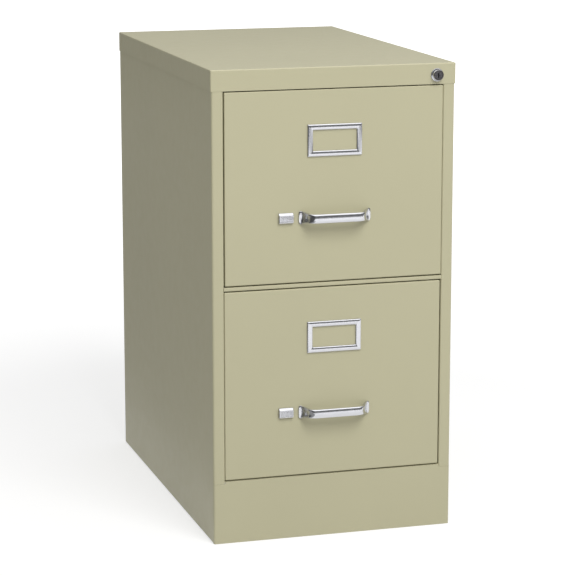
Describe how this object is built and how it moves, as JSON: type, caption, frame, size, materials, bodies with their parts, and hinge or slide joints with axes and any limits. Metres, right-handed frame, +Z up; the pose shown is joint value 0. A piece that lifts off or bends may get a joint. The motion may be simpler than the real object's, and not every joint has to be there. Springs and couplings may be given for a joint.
{
  "type": "metal filing cabinet",
  "caption": "Metal vertical filing cabinet whose drawers run on ball slides, with thumb latches, arch pulls, card frames and a push lock with a lock bar.",
  "frame": {"origin": "on the floor, at the centre of the box around the cabinet with its handles", "axes": "+X to the right seen from the front, -Y to the front (drawers open along -Y), +Z up"},
  "size_m": [0.381, 0.635, 0.7207],
  "materials": {
    "putty_paint": "satin",
    "chrome_trim": "polished",
    "zinc_steel": "zinc plated",
    "ball_steel": "polished",
    "lock_plug_metal": "dark satin",
    "guide_plastic": "matt",
    "bumper_rubber": "matt"
  },
  "bodies": {
    "case": {"left_side_panel": "putty_paint", "right_side_panel": "putty_paint", "back_panel": "putty_paint", "top_panel": "putty_paint", "base_front": "putty_paint", "rear_base_channel": "putty_paint", "middle_rail": "putty_paint", "top_rail": "putty_paint", "slide_uprights": "putty_paint", "slide_bumpers": "bumper_rubber", "lock_housing": "chrome_trim", "lock_nut": "zinc_steel", "lock_bar_guides": "guide_plastic", "upper_left_case_member": "zinc_steel", "upper_right_case_member": "zinc_steel", "lower_left_case_member": "zinc_steel", "lower_right_case_member": "zinc_steel"},
    "upper_drawer": {"upper_front_panel": "putty_paint", "upper_front_liner": "putty_paint", "upper_drawer_body": "putty_paint", "upper_drawer_back": "putty_paint", "upper_label_holder": "chrome_trim", "upper_handle": "chrome_trim", "upper_handle_screws": "zinc_steel", "upper_latch_guides": "zinc_steel", "upper_latch_spring": "zinc_steel", "upper_lock_lug": "zinc_steel", "upper_left_drawer_member": "zinc_steel", "upper_right_drawer_member": "zinc_steel"},
    "upper_latch": {"upper_latch_button": "chrome_trim", "upper_latch_bar": "zinc_steel"},
    "upper_slide_middles": {"upper_left_middle_member": "zinc_steel", "upper_right_middle_member": "zinc_steel"},
    "upper_outer_cages": {"upper_outer_cages": "zinc_steel", "upper_outer_balls": "ball_steel"},
    "upper_inner_cages": {"upper_inner_cages": "zinc_steel", "upper_inner_balls": "ball_steel"},
    "lower_drawer": {"lower_front_panel": "putty_paint", "lower_front_liner": "putty_paint", "lower_drawer_body": "putty_paint", "lower_drawer_back": "putty_paint", "lower_label_holder": "chrome_trim", "lower_handle": "chrome_trim", "lower_handle_screws": "zinc_steel", "lower_latch_guides": "zinc_steel", "lower_latch_spring": "zinc_steel", "lower_lock_lug": "zinc_steel", "lower_left_drawer_member": "zinc_steel", "lower_right_drawer_member": "zinc_steel"},
    "lower_latch": {"lower_latch_button": "chrome_trim", "lower_latch_bar": "zinc_steel"},
    "lower_slide_middles": {"lower_left_middle_member": "zinc_steel", "lower_right_middle_member": "zinc_steel"},
    "lower_outer_cages": {"lower_outer_cages": "zinc_steel", "lower_outer_balls": "ball_steel"},
    "lower_inner_cages": {"lower_inner_cages": "zinc_steel", "lower_inner_balls": "ball_steel"},
    "lock_plunger": {"lock_plunger": "chrome_trim"},
    "lock_plug": {"lock_plug": "lock_plug_metal"},
    "lock_bar": {"lock_bar": "zinc_steel"}
  },
  "joints": [
    {"name": "upper_drawer_slide", "type": "slide", "parent": "case", "child": "upper_drawer", "axis": [0, -1, 0], "range_m": [0, 0.54]},
    {"name": "upper_slide_middles_slide", "type": "slide", "parent": "case", "child": "upper_slide_middles", "axis": [0, -1, 0], "range_m": [0, 0.27]},
    {"name": "upper_outer_cages_slide", "type": "slide", "parent": "case", "child": "upper_outer_cages", "axis": [0, -1, 0], "range_m": [0, 0.135]},
    {"name": "upper_inner_cages_slide", "type": "slide", "parent": "case", "child": "upper_inner_cages", "axis": [0, -1, 0], "range_m": [0, 0.405]},
    {"name": "upper_latch_push", "type": "slide", "parent": "upper_drawer", "child": "upper_latch", "axis": [1, 0, 0], "range_m": [0, 0.0065], "stiffness_N_per_m": 300, "springref_m": -0.008, "deforming": ["upper_latch_spring"]},
    {"name": "lower_drawer_slide", "type": "slide", "parent": "case", "child": "lower_drawer", "axis": [0, -1, 0], "range_m": [0, 0.54]},
    {"name": "lower_slide_middles_slide", "type": "slide", "parent": "case", "child": "lower_slide_middles", "axis": [0, -1, 0], "range_m": [0, 0.27]},
    {"name": "lower_outer_cages_slide", "type": "slide", "parent": "case", "child": "lower_outer_cages", "axis": [0, -1, 0], "range_m": [0, 0.135]},
    {"name": "lower_inner_cages_slide", "type": "slide", "parent": "case", "child": "lower_inner_cages", "axis": [0, -1, 0], "range_m": [0, 0.405]},
    {"name": "lower_latch_push", "type": "slide", "parent": "lower_drawer", "child": "lower_latch", "axis": [1, 0, 0], "range_m": [0, 0.0065], "stiffness_N_per_m": 300, "springref_m": -0.008, "deforming": ["lower_latch_spring"]},
    {"name": "lock_push", "type": "slide", "parent": "case", "child": "lock_plunger", "axis": [0, 1, 0], "range_m": [0, 0.006], "stiffness_N_per_m": 400, "springref_m": -0.008},
    {"name": "lock_bar_drop", "type": "slide", "parent": "case", "child": "lock_bar", "axis": [0, 0, -1], "range_m": [0, 0.006]},
    {"name": "key_turn", "type": "hinge", "parent": "lock_plunger", "child": "lock_plug", "pos_m": [0.1605, -0.3009, 0.703], "axis": [0, 1, 0], "range_deg": [0, 90]}
  ],
  "couplings": [
    {"joint": "upper_slide_middles_slide", "follows": "upper_drawer_slide", "ratio": 0.5},
    {"joint": "upper_outer_cages_slide", "follows": "upper_drawer_slide", "ratio": 0.25},
    {"joint": "upper_inner_cages_slide", "follows": "upper_drawer_slide", "ratio": 0.75},
    {"joint": "lower_slide_middles_slide", "follows": "lower_drawer_slide", "ratio": 0.5},
    {"joint": "lower_outer_cages_slide", "follows": "lower_drawer_slide", "ratio": 0.25},
    {"joint": "lower_inner_cages_slide", "follows": "lower_drawer_slide", "ratio": 0.75},
    {"joint": "lock_bar_drop", "follows": "lock_push", "ratio": 1}
  ]
}
